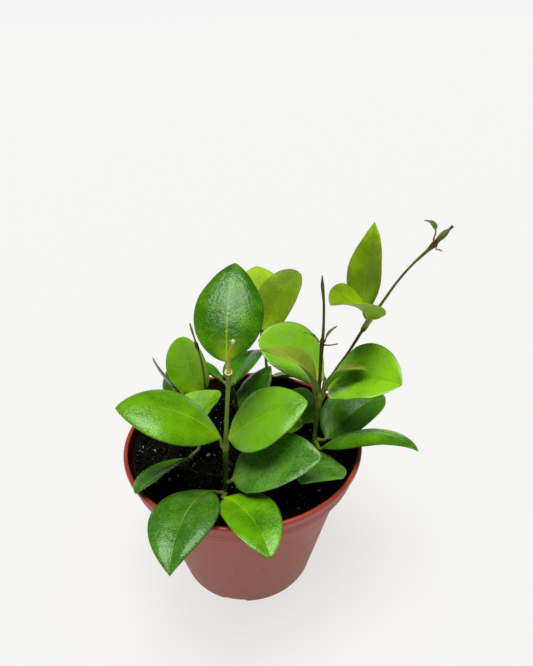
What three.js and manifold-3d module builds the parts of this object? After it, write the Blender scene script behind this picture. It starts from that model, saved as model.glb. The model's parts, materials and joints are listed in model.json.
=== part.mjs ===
// Young wax plant in a plastic nursery pot. Millimetres, +Z up.
// The origin is the centre of the pot's foot on the surface it stands on; the front is -Y.
import * as THREE from "three";
import { mergeVertices } from "three/addons/utils/BufferGeometryUtils.js";
import Module from "manifold-3d";

const wasm = await Module();
wasm.setup();

// Driving dimensions of the pot.
const rimRadius = 60;
const potHeight = 81;
const footRadius = 36;
const wall = 1.2;
const lipHeight = 2.8;
const lipRound = 0.9;
const collarTopRadius = 59.1;
const collarFootRadius = 57;
const collarFootHeight = 69.2;
const taperTopRadius = 51.9;
const taperTopHeight = 64.6;
const ledgeFall = 0.5;
const collarRound = 1;
const footRound = 1.5;
const footRing = 4;
const footHollow = 1;
const floorHeight = 1.6;
const centreDiscRadius = 14;
const drainHoles = 8;
const drainHoleRadius = 3.5;
const drainHoleCircle = 23;
const notches = 4;
const notchDepth = 4;
const notchWidth = 11;
const notchHeight = 2;
const firstNotchAngle = 257;

// Driving dimensions of the planting.
const soilTop = 70;
// The soil climbs the wall of the pot. Each pair is a distance inwards from the wall and a rise.
const soilBank = [[0, 5.5], [1.7, 3.6], [4.2, 1.8], [6.7, 0.6], [8.7, 0]];
const gap = 0.3;
const leafThickness = 1;
const petioleRadius = 0.9;
// Share of a blade's length over which its tip thins to nothing.
const thinTip = 1 / 6;
// Share of the way from stem to blade that a leaf's stalk runs straight at either end.
const stalkReach = 0.4;
const scarRadius = 1.6;
const scarThickness = 1.2;
const scarTilt = 25;
const scarRise = 1.6;

const potSides = 56;
const soilSides = 48;
const leafSides = 10;
const stemSides = 8;
const roundSides = 12;
const stemStepsPerPoint = 3;
const midribSteps = 24;
// Midrib steps and leaf stalk places that carry a ring of the leaf's mesh.
const bladeRings = [1, 3, 6, 9, 12, 15, 18, 21, 23, 24];
const stalkRings = [0, 0.02, 0.5, 1];

// Stem routes from soil to tip: x, y, z and the stem's radius there.
const foot = soilTop + gap;
const frontStemRoute = [
  [-9.5, -28.5, foot, 1.4],
  [-9.5, -28.5, 72.5, 1.4],
  [-9, -28.5, 79, 1.3],
  [-8, -28.5, 99.5, 1.5],
  [-7.6, -28.5, 105.5, 1.0],
  [-6.5, -28.5, 120, 0.9],
  [-5.3, -28.5, 134, 1.0],
  [-5, -28.5, 137.9, 1.3],
];
const flowerStalkRoute = [
  [-4.8, -28.6, 140.9, 0.7],
  [-4.5, -28.5, 144, 0.5],
  [-4.1, -28.5, 149, 0.4],
  [-3, -28.5, 152.7, 0.5],
  [-2.5, -28.5, 154, 0.8],
  [-2.2, -28.5, 154.7, 0.8],
];
const rightStemRoute = [
  [37, 1.5, foot, 1.2],
  [37, 1.5, 72, 1.2],
  [37, 1.5, 76, 1.2],
  [37.5, 1.5, 85, 1.1],
  [38.5, 1.5, 101.5, 1.6],
  [38.5, 1.5, 108, 0.9],
  [38.6, 1.5, 118, 0.8],
  [39, 1.5, 134, 1.0],
  [39.3, 1.5, 138.5, 0.7],
  [39.3, 1.5, 147, 0.6],
  [39, 1.5, 155, 0.6],
  [38.2, 1.5, 163, 0.8],
  [37.8, 1.5, 168.3, 0.3],
];
const spurRoute = [
  [40.5, 1.5, 132.7, 0.4],
  [43, 1.5, 132.4, 0.3],
  [46.5, 1.5, 133, 0.3],
];
const climbingStemRoute = [
  [40, 16, foot, 1.1],
  [41, 16, 80, 1.0],
  [44, 17, 97.5, 1.4],
  [49, 17.5, 107, 0.8],
  [56.2, 18.5, 118.5, 0.7],
  [61.7, 19, 128.9, 0.8],
  [62.9, 19, 131, 1.4],
  [65.2, 19, 135.5, 1.6],
  [67.3, 19.5, 138.3, 1.0],
  [72, 20, 145.8, 0.7],
  [77.5, 20, 155.2, 0.6],
  [84, 20, 164, 0.6],
  [90, 20, 170.3, 0.8],
  [93.9, 20, 174.4, 1.6],
];
const shootBudRoute = [
  [94.3, 20, 174.9, 0.9],
  [95.2, 20, 176.4, 1.1],
  [96.5, 20, 177.8, 1.6],
  [98, 20, 179.4, 1.4],
  [99.6, 20, 181, 0.6],
  [101, 20, 182.6, 0.8],
];
const redStemRoute = [
  [-20.5, 23, foot, 0.9],
  [-19.2, 22.5, 88, 0.7],
  [-19.3, 22.5, 108, 0.5],
  [-20.6, 22.5, 119, 0.5],
  [-21.5, 22.5, 123, 0.9],
  [-22.4, 22.5, 127.5, 0.4],
  [-23.3, 22.5, 132.2, 0.6],
  [-24, 22.5, 136, 0.4],
];
const leftShootRoute = [
  [-27, -3, foot, 1],
  [-27, -3, 72.5, 1],
  [-22.5, -2.5, 77.5, 0.9],
  [-23, -2, 86, 1],
];
const leftBackShootRoute = [
  [-32.5, 20, foot, 1],
  [-32.5, 20, 84, 0.9],
  [-32.5, 20, 89, 1],
];
const middleShootRoute = [
  [10, 0, foot, 1],
  [10, 0, 73, 1],
  [10.5, 0.5, 82, 0.9],
];
const innerShootRoute = [
  [-2.5, 25, foot, 1.1],
  [-3, 24, 85.5, 1.1],
  [-5.5, 24, 97.5, 1.3],
];
const backStemRoute = [
  [15.5, 42.5, foot, 1.1],
  [15.5, 42, 83.5, 1.0],
  [14.5, 42, 101.5, 0.8],
  [14, 42, 115, 1.0],
];

// Colour and roughness of each surface.
const palette = {
  terracotta: "#9c6459",
  soil: "#17120f",
  matureLeaf: "#3f8a12",
  darkLeaf: "#2c6419",
  youngLeaf: "#6f9a22",
  limeLeaf: "#86b41c",
  greenStem: "#5f7a2c",
  brownStem: "#4a3f22",
  redStem: "#7d4a28",
  dryStalk: "#b39a55",
  scar: "#d8cf7a",
};
const roughness = { pot: 0.55, soil: 0.95, stem: 0.6, leaf: 0.35, scar: 0.7 };

// A leaf starts at `start` and runs along `heading` (0 is +X, 90 is +Y) and up by `rise`, both in degrees.
// `roll` tips it about its midrib, `arch` bends it down, `sweep` bends it to its right, `twist` turns it,
// `fold` lifts each half from the midrib and `curl` goes on lifting it towards the edge.
// `on` is the stem and the point of its route that the leaf's stalk leaves from.
const plainLeaf = { arch: 20, sweep: 0, twist: 0, fold: 10, curl: 15, widest: 0.45, point: 0.8 };

const frontStemLeaves = {
  leaf_front_left: {
    on: [frontStemRoute, 3], start: [-10.5, -28.5, 104.5], heading: 175, rise: 55, roll: 5,
    length: 50, width: 32, arch: 60, sweep: -15, fold: -5, curl: -5, widest: 0.5, colour: "matureLeaf",
  },
  leaf_front_right: {
    on: [frontStemRoute, 3], start: [-6.5, -22.5, 99], heading: -10, rise: 50, roll: -20,
    length: 43, width: 32, arch: 35, sweep: 10, fold: 0, curl: 5, colour: "matureLeaf",
  },
  leaf_tall: {
    on: [frontStemRoute, 7], start: [-5.5, -23, 141], heading: 90, rise: 55, roll: 5,
    length: 49, width: 32, arch: 35, sweep: 10, fold: -5, curl: -10, colour: "matureLeaf",
  },
  leaf_low_right: {
    on: [frontStemRoute, 2], start: [-5.5, -31.5, 82.5], heading: -10, rise: 40, roll: -20,
    length: 46, width: 29, sweep: 20, colour: "darkLeaf",
  },
  leaf_rim_left: {
    on: [frontStemRoute, 1], start: [-15.5, -32.5, 76.5], heading: 235, rise: 35, roll: -10,
    length: 53, width: 30, arch: 65, sweep: -25, fold: 20, curl: -25, widest: 0.5, point: 1.1,
    colour: "matureLeaf",
  },
  leaf_rim_right: {
    on: [frontStemRoute, 1], start: [-9.5, -38.5, 78], heading: -50, rise: 25, roll: 5,
    length: 43, width: 24, arch: 40, sweep: 25, curl: 20, widest: 0.5, colour: "matureLeaf",
  },
};
const rightStemLeaves = {
  leaf_right_front: {
    on: [rightStemRoute, 1], start: [37.5, -6, 74.5], heading: -110, rise: 15, roll: 15,
    length: 47, width: 36, arch: -15, twist: -5, fold: 30, curl: -15, widest: 0.55, point: 0.7,
    colour: "darkLeaf",
  },
  leaf_right_long: {
    on: [rightStemRoute, 2], start: [40, -8, 78], heading: -15, rise: 50, roll: 25,
    length: 61, width: 23, arch: 55, sweep: 35, twist: 10, curl: -65, widest: 0.4, point: 1,
    colour: "matureLeaf",
  },
  leaf_right_back: {
    on: [rightStemRoute, 2], start: [43, 0.3, 77], heading: 35, rise: 30, roll: -5,
    length: 42, width: 30, arch: 30, sweep: 10, twist: 5, fold: 15, curl: 20, colour: "darkLeaf",
  },
  leaf_inner_right: {
    on: [rightStemRoute, 2], start: [37.5, 12, 79], heading: 130, rise: 5, roll: 15,
    length: 36, width: 28, arch: 25, sweep: 10, fold: 5, widest: 0.5, colour: "darkLeaf",
  },
  young_leaf_right: {
    on: [rightStemRoute, 4], start: [41, 1.5, 107], heading: 30, rise: 55, roll: 55,
    length: 27, width: 16, arch: 70, sweep: 30, fold: 15, curl: 10, point: 1.2, stalk: 1,
    colour: "youngLeaf",
  },
  young_leaf_left: {
    on: [rightStemRoute, 4], start: [36, 2, 106], heading: 225, rise: 85, roll: 45,
    length: 40, width: 18, arch: 90, sweep: 10, twist: 5, fold: 15, curl: 25, widest: 0.35, point: 1.2,
    stalk: 1, colour: "youngLeaf",
  },
};
const climbingStemLeaves = {
  leaf_middle_right: {
    on: [climbingStemRoute, 2], start: [44.5, 10, 101.5], heading: -35, rise: 40, roll: -20,
    length: 45, width: 38, sweep: 25, fold: 15, curl: 25, widest: 0.5, colour: "matureLeaf",
  },
  leaf_middle_left: {
    on: [climbingStemRoute, 2], start: [44, 21.5, 101], heading: 180, rise: 45, roll: 20,
    length: 42, width: 36, sweep: -5, twist: 10, curl: 25, widest: 0.5, point: 0.6,
    colour: "matureLeaf",
  },
  leaf_top_upright: {
    on: [climbingStemRoute, 7], start: [63.5, 24, 138], heading: 80, rise: 70, roll: 50,
    length: 45, width: 25, arch: 15, sweep: -5, curl: 10, widest: 0.4, point: 1, colour: "limeLeaf",
  },
  leaf_top_folded: {
    on: [climbingStemRoute, 7], start: [64, 15, 139.5], heading: 205, rise: 55, roll: 5,
    length: 28, width: 30, arch: 55, sweep: -5, twist: -10, fold: 20, widest: 0.4, colour: "limeLeaf",
  },
};
const backLeaves = {
  leaf_red_stem: {
    on: [redStemRoute, 1], start: [-24, 26, 91], heading: 135, rise: 70, roll: 55,
    length: 33, width: 24, arch: 0, sweep: 10, twist: 5, curl: 20, point: 0.55, colour: "matureLeaf",
  },
  leaf_left_low: {
    on: [leftShootRoute, 1], start: [-28, -9, 76.5], heading: 230, rise: 25, roll: -30,
    length: 40, width: 20, arch: 25, sweep: -5, twist: 5, fold: 15, curl: -5, colour: "darkLeaf",
  },
  leaf_left_inner: {
    on: [leftShootRoute, 3], start: [-28, -0.5, 87.5], heading: 50, rise: 30, roll: 10,
    length: 27, width: 27, arch: 15, twist: 5, fold: 15, curl: 30, colour: "matureLeaf",
  },
  leaf_left_thin: {
    on: [leftBackShootRoute, 2], start: [-32, 20, 97], heading: 165, rise: 40, roll: 130,
    length: 24, width: 7, arch: 30, sweep: -15, fold: 5, curl: -10, colour: "darkLeaf",
  },
  leaf_left_back: {
    on: [leftBackShootRoute, 1], start: [-36, 26, 86.5], heading: 105, rise: 25, roll: 65,
    length: 29, width: 16, sweep: 10, twist: -5, curl: 20, colour: "darkLeaf",
  },
  leaf_inner_low: {
    on: [innerShootRoute, 1], start: [-4, 29, 79.5], heading: 20, rise: 35, roll: 0,
    length: 30, width: 24, arch: -10, sweep: -5, fold: 0, curl: -10, widest: 0.4, colour: "darkLeaf",
  },
  leaf_inner_back: {
    on: [innerShootRoute, 2], start: [-3.5, 29, 94.5], heading: 70, rise: 25, roll: 30,
    length: 31, width: 25, arch: 35, sweep: -5, twist: -10, curl: 5, colour: "darkLeaf",
  },
  leaf_inner_left: {
    on: [innerShootRoute, 2], start: [-9.5, 28, 96.5], heading: 155, rise: 30, roll: -25,
    length: 32, width: 18, arch: 30, sweep: 20, twist: -10, curl: 30, colour: "darkLeaf",
  },
  leaf_middle_low: {
    on: [middleShootRoute, 1], start: [10.5, 3.5, 73.5], heading: 25, rise: 30, roll: 5,
    length: 24, width: 25, arch: 15, sweep: 25, twist: -5, fold: 20, curl: 30, point: 0.5,
    colour: "matureLeaf",
  },
  leaf_back_low: {
    on: [backStemRoute, 1], start: [18.5, 47, 86], heading: -5, rise: 0, roll: 25,
    length: 14, width: 23, arch: 5, twist: 10, fold: 5, colour: "darkLeaf",
  },
  leaf_back_left: {
    on: [backStemRoute, 3], start: [12.5, 42, 119], heading: 95, rise: 55, roll: 10,
    length: 39, width: 31, arch: 25, curl: 10, colour: "limeLeaf",
  },
  leaf_back_right: {
    on: [backStemRoute, 3], start: [14, 38.5, 121], heading: 50, rise: 60, roll: -10,
    length: 38, width: 23, arch: 30, sweep: 15, fold: 15, point: 0.55, colour: "youngLeaf",
  },
};
const smallLeaf = { fold: 15, curl: 10, thickness: 0.6, stalk: 0.4 };
const smallLeaves = {
  bud_leaf_right: {
    ...smallLeaf, on: [rightStemRoute, 7], start: [40.9, 1.5, 137], heading: 0, rise: 65, roll: 30,
    length: 8, width: 4.5, arch: 30, colour: "darkLeaf",
  },
  bud_leaf_left: {
    ...smallLeaf, on: [rightStemRoute, 7], start: [36.5, 1.5, 136.5], heading: 180, rise: 55, roll: 30,
    length: 8, width: 1.5, arch: 90, colour: "darkLeaf",
  },
  shoot_leaf: {
    ...smallLeaf, on: [climbingStemRoute, 13], start: [93, 20, 181], heading: 180, rise: 65, roll: -30,
    length: 9.5, width: 4.5, arch: 60, colour: "darkLeaf",
  },
  shoot_bract: {
    ...smallLeaf, on: [climbingStemRoute, 13], start: [94.5, 19.5, 171.5], heading: 0, rise: -10, roll: 0,
    length: 3.5, width: 2, stalk: 0.3, colour: "scar",
  },
};

const radians = THREE.MathUtils.degToRad;

function material(colour, surface) {
  return new THREE.MeshStandardMaterial({
    color: palette[colour],
    roughness: roughness[surface],
    metalness: 0,
  });
}

// Only positions stay, and vertices that coincide become one, so the surface is closed.
function weld(geometry) {
  geometry.deleteAttribute("normal");
  geometry.deleteAttribute("uv");
  const welded = mergeVertices(geometry, 1e-3);
  welded.computeVertexNormals();
  return welded;
}

function named(name, geometry, surface) {
  const mesh = new THREE.Mesh(geometry, surface);
  mesh.name = name;
  return mesh;
}

function lathe(profile, sides) {
  const geometry = new THREE.LatheGeometry(profile, sides);
  geometry.rotateX(Math.PI / 2);
  return weld(geometry);
}

function solid(geometry) {
  return new wasm.Manifold(
    new wasm.Mesh({
      numProp: 3,
      vertProperties: geometry.attributes.position.array,
      triVerts: new Uint32Array(geometry.index.array),
    }),
  );
}

function geometryOf(manifold) {
  const mesh = manifold.getMesh();
  const geometry = new THREE.BufferGeometry();
  geometry.setAttribute("position", new THREE.BufferAttribute(mesh.vertProperties, 3));
  geometry.setIndex(new THREE.BufferAttribute(mesh.triVerts, 1));
  geometry.computeVertexNormals();
  return geometry;
}

// Pot: a turned wall with a ledge, a collar and a rounded lip, then drain holes and foot notches.
function arc(centreX, centreY, radius, from, to, steps) {
  return Array.from({ length: steps + 1 }, (_, i) => {
    const angle = radians(from + ((to - from) * i) / steps);
    return new THREE.Vector2(centreX + radius * Math.cos(angle), centreY + radius * Math.sin(angle));
  });
}

function potProfile() {
  const at = (x, y) => new THREE.Vector2(x, y);
  const floor = floorHeight + wall;
  const ledge = collarFootHeight + wall;
  const lipFoot = potHeight - lipHeight;
  const lipTop = potHeight - lipRound;
  return [
    at(0, 0),
    at(centreDiscRadius, 0),
    at(centreDiscRadius + footHollow, footHollow),
    at(footRadius - footRing - footHollow, footHollow),
    at(footRadius - footRing, 0),
    ...arc(footRadius - footRound, footRound, footRound, -90, 0, 3),
    at(taperTopRadius, taperTopHeight),
    ...arc(collarFootRadius - collarRound, collarFootHeight + collarRound, collarRound, -45, 0, 2),
    at(collarTopRadius, lipFoot),
    ...arc(rimRadius - lipRound, lipFoot + lipRound, lipRound, -80, 0, 3),
    ...arc(rimRadius - lipRound, lipTop, lipRound, 0, 90, 3),
    ...arc(collarTopRadius - wall + lipRound, lipTop, lipRound, 90, 180, 3),
    at(collarFootRadius - wall, ledge + ledgeFall),
    at(collarFootRadius - wall - ledgeFall, ledge),
    at(taperTopRadius - wall, taperTopHeight + wall + gap),
    at(footRadius - wall, floor),
    at(0, floor),
  ];
}

function drainHole(index) {
  const angle = (2 * Math.PI * index) / drainHoles;
  const height = 4 * (floorHeight + wall);
  const bore = new THREE.CylinderGeometry(drainHoleRadius, drainHoleRadius, height, roundSides);
  bore.rotateX(Math.PI / 2);
  bore.translate(drainHoleCircle * Math.cos(angle), drainHoleCircle * Math.sin(angle), 0);
  return solid(weld(bore));
}

function footNotch(index) {
  const box = new THREE.BoxGeometry(notchDepth, notchWidth, 2 * notchHeight);
  box.translate(footRadius, 0, 0);
  box.rotateZ(radians(firstNotchAngle + (360 * index) / notches));
  return solid(weld(box));
}

function pot() {
  const cutters = [
    ...Array.from({ length: drainHoles }, (_, i) => drainHole(i)),
    ...Array.from({ length: notches }, (_, i) => footNotch(i)),
  ];
  const body = solid(lathe(potProfile(), potSides));
  const cut = wasm.Manifold.difference([body, ...cutters]);
  return named("pot", geometryOf(cut), material("terracotta", "pot"));
}

// Soil: it fills the pot down to the floor, covers the ledge and banks up against the wall.
function soil() {
  const at = (x, y) => new THREE.Vector2(x, y);
  const inside = wall + 2 * gap;
  const floor = floorHeight + wall + gap;
  const ledge = collarFootHeight + wall + gap;
  const profile = [
    at(0, floor),
    at(footRadius - inside, floor),
    at(taperTopRadius - inside, taperTopHeight + wall + 2 * gap),
    at(collarFootRadius - inside - ledgeFall, ledge + gap),
    ...soilBank.map(([inwards, rise]) => at(collarFootRadius - inside + 1 - inwards, soilTop + rise)),
    at(0, soilTop),
  ];
  return named("soil", lathe(profile, soilSides), material("soil", "soil"));
}

// Stems: a closed cylinder bent along its route, with the radius of each route point.
function bentAlong(route) {
  const curve = new THREE.CatmullRomCurve3(route.map(([x, y, z]) => new THREE.Vector3(x, y, z)));
  const steps = (route.length - 1) * stemStepsPerPoint;
  const geometry = new THREE.CylinderGeometry(1, 1, 1, stemSides, steps);
  const position = geometry.attributes.position;
  for (let i = 0; i < position.count; i += 1) {
    const along = 0.5 - position.getY(i);
    const { centre, side, front } = stemFrame(curve, along);
    const radius = radiusAt(route, along);
    centre.addScaledVector(side, radius * position.getX(i));
    centre.addScaledVector(front, radius * position.getZ(i));
    position.setXYZ(i, centre.x, centre.y, centre.z);
  }
  return weld(geometry);
}

function stemFrame(curve, along) {
  const step = 0.01;
  const before = curve.getPoint(Math.max(0, along - step));
  const after = curve.getPoint(Math.min(1, along + step));
  const direction = after.sub(before).normalize();
  const side = new THREE.Vector3(0, 1, 0).cross(direction).normalize();
  const front = direction.clone().cross(side);
  return { centre: curve.getPoint(along), side, front };
}

function radiusAt(route, along) {
  const place = along * (route.length - 1);
  const index = Math.min(Math.floor(place), route.length - 2);
  return THREE.MathUtils.lerp(route[index][3], route[index + 1][3], place - index);
}

function stem(name, route, colour) {
  return named(name, bentAlong(route), material(colour, "stem"));
}

// Leaves: a closed sphere whose rows become the rings of a stalk and a blade.
function turnAll(frame, axis, angle) {
  const pivot = axis.clone();
  for (const vector of [frame.along, frame.across, frame.up]) {
    vector.applyAxisAngle(pivot, angle);
  }
}

function firstFrame(leaf) {
  const heading = radians(leaf.heading);
  const rise = radians(leaf.rise);
  const level = new THREE.Vector3(Math.cos(heading), Math.sin(heading), 0);
  const along = level.clone().multiplyScalar(Math.cos(rise));
  along.z = Math.sin(rise);
  const across = new THREE.Vector3(level.y, -level.x, 0);
  const frame = { along, across, up: across.clone().cross(along) };
  turnAll(frame, along, -radians(leaf.roll));
  return frame;
}

function copyFrame(frame) {
  return { along: frame.along.clone(), across: frame.across.clone(), up: frame.up.clone() };
}

// Each step bends and turns the frame by half its share, moves on, and turns by the other half.
function midrib(leaf) {
  const frame = firstFrame(leaf);
  const point = new THREE.Vector3(...leaf.start);
  const share = (degrees) => -radians(degrees) / (2 * midribSteps);
  const turn = () => {
    turnAll(frame, frame.across, share(leaf.arch));
    turnAll(frame, frame.up, share(leaf.sweep));
    turnAll(frame, frame.along, share(leaf.twist));
  };
  const stations = [{ point: point.clone(), ...copyFrame(frame) }];
  for (let i = 0; i < midribSteps; i += 1) {
    turn();
    point.addScaledVector(frame.along, leaf.length / midribSteps);
    turn();
    stations.push({ point: point.clone(), ...copyFrame(frame) });
  }
  return stations;
}

// Share of the full width at a place between the blade's start (0) and its tip (1).
function outline(leaf, place) {
  const foot = (leaf.point * leaf.widest) / (1 - leaf.widest);
  return (place / leaf.widest) ** foot * ((1 - place) / (1 - leaf.widest)) ** leaf.point;
}

// The stalk leaves its stem squarely and ends along the blade's midrib.
function stalkCurve(leaf, first) {
  const [route, index] = leaf.on;
  const point = (i) => new THREE.Vector3(...route[i].slice(0, 3));
  const stemPoint = point(index);
  const after = point(Math.min(index + 1, route.length - 1));
  const stemWay = after.sub(point(Math.max(index - 1, 0))).normalize();
  const outward = first.point.clone().sub(stemPoint).projectOnPlane(stemWay).normalize();
  const root = stemPoint.addScaledVector(outward, route[index][3] + gap);
  const reach = stalkReach * root.distanceTo(first.point);
  return new THREE.CubicBezierCurve3(
    root,
    root.clone().addScaledVector(outward, reach),
    first.point.clone().addScaledVector(first.along, -reach),
    first.point,
  );
}

// Rings of the stalk, worked out from the blade back to the stem so that each turns only with the bend.
function stalkRows(leaf, first) {
  const curve = stalkCurve(leaf, first);
  let across = first.across;
  const rows = stalkRings.toReversed().map((place) => {
    const along = curve.getTangent(place);
    across = across.clone().projectOnPlane(along).normalize();
    const radius = place === 0 ? 0 : leaf.stalk;
    const ring = { point: curve.getPoint(place), along, across, up: across.clone().cross(along) };
    return { ...ring, halfWidth: radius, halfThickness: radius, fold: 0, bend: 0 };
  });
  return rows.reverse();
}

function bladeRow(leaf, station, step) {
  const place = step / midribSteps;
  const thinning = Math.min(1, (1 - place) / thinTip);
  return {
    ...station,
    halfWidth: (leaf.width / 2) * outline(leaf, place),
    halfThickness: (leaf.thickness / 2) * thinning,
    fold: radians(leaf.fold),
    bend: radians(leaf.curl) / (leaf.width / 2),
  };
}

// A point of a ring: `side` is -1 to 1 across the blade and `lift` is -1 to 1 through it.
// On the midrib the two halves meet, so the point stays in the middle.
function ringPoint(row, side, lift) {
  const reach = row.halfWidth * Math.abs(side);
  const mean = row.fold + (row.bend * reach) / 2;
  const half = (row.bend * reach) / 2;
  const chord = Math.abs(half) < 1e-6 ? reach : (reach * Math.sin(half)) / half;
  const slope = row.fold + row.bend * reach;
  const thick = lift * row.halfThickness;
  const way = Math.abs(side) < 1e-6 ? 0 : Math.sign(side);
  const outwards = way * (chord * Math.cos(mean) - thick * Math.sin(slope));
  const upwards = chord * Math.sin(mean) + thick * Math.cos(slope);
  const point = row.point.clone().addScaledVector(row.across, outwards);
  return point.addScaledVector(row.up, upwards);
}

function leafRows(leaf) {
  const stations = midrib(leaf);
  return [
    ...stalkRows(leaf, stations[0]),
    ...bladeRings.map((step) => bladeRow(leaf, stations[step], step)),
  ];
}

function leafMesh(name, choices) {
  const leaf = { ...plainLeaf, thickness: leafThickness, stalk: petioleRadius, ...choices };
  const rows = leafRows(leaf);
  const geometry = new THREE.SphereGeometry(1, leafSides, rows.length - 1);
  const position = geometry.attributes.position;
  for (let i = 0; i < position.count; i += 1) {
    const row = rows[Math.floor(i / (leafSides + 1))];
    const turn = (2 * Math.PI * (i % (leafSides + 1))) / leafSides;
    const point = ringPoint(row, Math.sin(turn), -Math.cos(turn));
    position.setXYZ(i, point.x, point.y, point.z);
  }
  return named(name, weld(geometry), material(leaf.colour, "leaf"));
}

function leafGroup(leaves) {
  const group = new THREE.Group();
  for (const [name, choices] of Object.entries(leaves)) {
    group.add(leafMesh(name, choices));
  }
  return group;
}

// The round scar where the front stem was cut sits on its end and leans forwards.
function cutScar() {
  const [x, y, z] = frontStemRoute.at(-1);
  const geometry = new THREE.CylinderGeometry(scarRadius, scarRadius, scarThickness, roundSides);
  geometry.rotateX(radians(90 + scarTilt));
  geometry.translate(x, y - gap, z + scarRise);
  return named("cut_scar", weld(geometry), material("scar", "scar"));
}

function stems() {
  const group = new THREE.Group();
  group.add(
    stem("stem_front", frontStemRoute, "greenStem"),
    stem("flower_stalk", flowerStalkRoute, "dryStalk"),
    stem("stem_right", rightStemRoute, "brownStem"),
    stem("stem_spur", spurRoute, "brownStem"),
    stem("stem_climbing", climbingStemRoute, "greenStem"),
    stem("shoot_bud", shootBudRoute, "brownStem"),
    stem("stem_red", redStemRoute, "redStem"),
    stem("shoot_left", leftShootRoute, "greenStem"),
    stem("shoot_left_back", leftBackShootRoute, "greenStem"),
    stem("shoot_middle", middleShootRoute, "greenStem"),
    stem("shoot_inner", innerShootRoute, "greenStem"),
    stem("stem_back", backStemRoute, "greenStem"),
    cutScar(),
  );
  return group;
}

const plant = new THREE.Group();
plant.add(pot(), soil(), stems());
for (const leaves of [frontStemLeaves, rightStemLeaves, climbingStemLeaves, backLeaves, smallLeaves]) {
  plant.add(leafGroup(leaves));
}

export default plant;
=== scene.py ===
import json
import math
import random

import bmesh
import bpy
from mathutils import Matrix, Vector, noise

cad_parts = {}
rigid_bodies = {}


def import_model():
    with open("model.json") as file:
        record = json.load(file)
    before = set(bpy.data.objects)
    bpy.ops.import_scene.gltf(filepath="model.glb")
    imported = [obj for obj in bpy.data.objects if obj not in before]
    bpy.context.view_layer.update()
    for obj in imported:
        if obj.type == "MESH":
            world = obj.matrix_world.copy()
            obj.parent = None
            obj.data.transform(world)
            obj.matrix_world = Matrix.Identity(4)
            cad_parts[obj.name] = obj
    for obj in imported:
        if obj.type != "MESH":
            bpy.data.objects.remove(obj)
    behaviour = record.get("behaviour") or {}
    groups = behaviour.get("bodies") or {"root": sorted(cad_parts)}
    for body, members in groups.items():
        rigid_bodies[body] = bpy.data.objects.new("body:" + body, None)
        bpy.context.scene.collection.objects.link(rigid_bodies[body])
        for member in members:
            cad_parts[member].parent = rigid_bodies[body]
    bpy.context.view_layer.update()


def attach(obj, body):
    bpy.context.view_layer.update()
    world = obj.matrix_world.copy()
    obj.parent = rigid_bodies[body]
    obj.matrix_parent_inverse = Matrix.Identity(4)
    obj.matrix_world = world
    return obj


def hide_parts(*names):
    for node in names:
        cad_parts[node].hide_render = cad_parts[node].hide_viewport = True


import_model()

# ---- View ----------------------------------------------------------------------------------------
# The camera stands 35 cm from the plant, in front of the pot and above it, and looks down on it.
# Its focal length is given in pixels of a picture that is 666 pixels high.
camera_place = Vector((0, -0.228, 0.270))
camera_pan, camera_pitch, camera_roll = (math.radians(angle) for angle in (3.2, 29.4, -0.9))
focal_pixels, picture_height, sensor_size = 570, 666, 36

camera = bpy.data.objects.new("camera", bpy.data.cameras.new("camera"))
bpy.context.scene.collection.objects.link(camera)
bpy.context.scene.camera = camera
camera.data.sensor_width = sensor_size
camera.data.lens = focal_pixels / picture_height * sensor_size
camera.data.clip_start = 0.01
camera.matrix_world = (
    Matrix.Translation(camera_place)
    @ Matrix.Rotation(-camera_pan, 4, "Z")
    @ Matrix.Rotation(math.radians(90) - camera_pitch, 4, "X")
    @ Matrix.Rotation(camera_roll, 4, "Z")
)

# ---- Pot -----------------------------------------------------------------------------------------
# The nursery pot is one thin shell of moulded plastic in a terracotta colour: a tapered wall, a wider
# collar above it and a rolled lip. Handling has left fine pale scuffs that run round the outside.
# Sizes of the pot and the plant are in millimetres, and MM turns them into the metres of the frame.
MM = 0.001
rim_radius, pot_height, lip_height, lip_round, pot_wall = 60, 81, 2.8, 0.9, 1.2
collar_top_radius, collar_foot_radius, collar_foot_height, collar_round = 59.1, 57, 69.2, 1
taper_top_radius, taper_top_height = 51.9, 64.6
taper_start, taper_spread, taper_heights = (36.1, 1.9), 0.2521, (1.9, 2.6, 4, 8, 20, 34, 48, 60)
foot_radius, foot_round, foot_ring, foot_hollow, foot_disc_radius, floor_top = 36, 1.5, 4, 1, 14, 2.8
notch_angles, notch_half_angle, notch_height, notch_inside = (257, 347, 77, 167), 8.8, 2, 33.9
pot_turns = 144


def arc(centre_r, centre_z, radius, start, end, steps):
    """Points of a pot's outline that run round a small corner."""
    angles = [math.radians(start + (end - start) * i / steps) for i in range(steps + 1)]
    return [(centre_r + radius * math.cos(a), centre_z + radius * math.sin(a)) for a in angles]


def turned(outline, turns):
    """A closed shell: an outline that starts and ends on the axis, spun round it."""
    shell = bmesh.new()
    points = [shell.verts.new((r * MM, 0, z * MM)) for r, z in outline]
    lines = [shell.edges.new(pair) for pair in zip(points, points[1:])]
    bmesh.ops.spin(
        shell, geom=points + lines, cent=(0, 0, 0), axis=(0, 0, 1),
        angle=2 * math.pi, steps=turns, use_merge=True,
    )
    bmesh.ops.remove_doubles(shell, verts=shell.verts, dist=1e-6)
    bmesh.ops.recalc_face_normals(shell, faces=shell.faces)
    return shell


def piece(name, shape, surfaces, slot, *nodes):
    """Makes an object of a finished shape. It rides on the plant and stands for those nodes."""
    mesh = bpy.data.meshes.new(name)
    shape.to_mesh(mesh)
    shape.free()
    mesh.shade_smooth()
    for surface in surfaces:
        mesh.materials.append(surface)
    made = bpy.data.objects.new(name, mesh)
    bpy.context.scene.collection.objects.link(made)
    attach(made, "root")
    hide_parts(*nodes)
    return made


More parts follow.
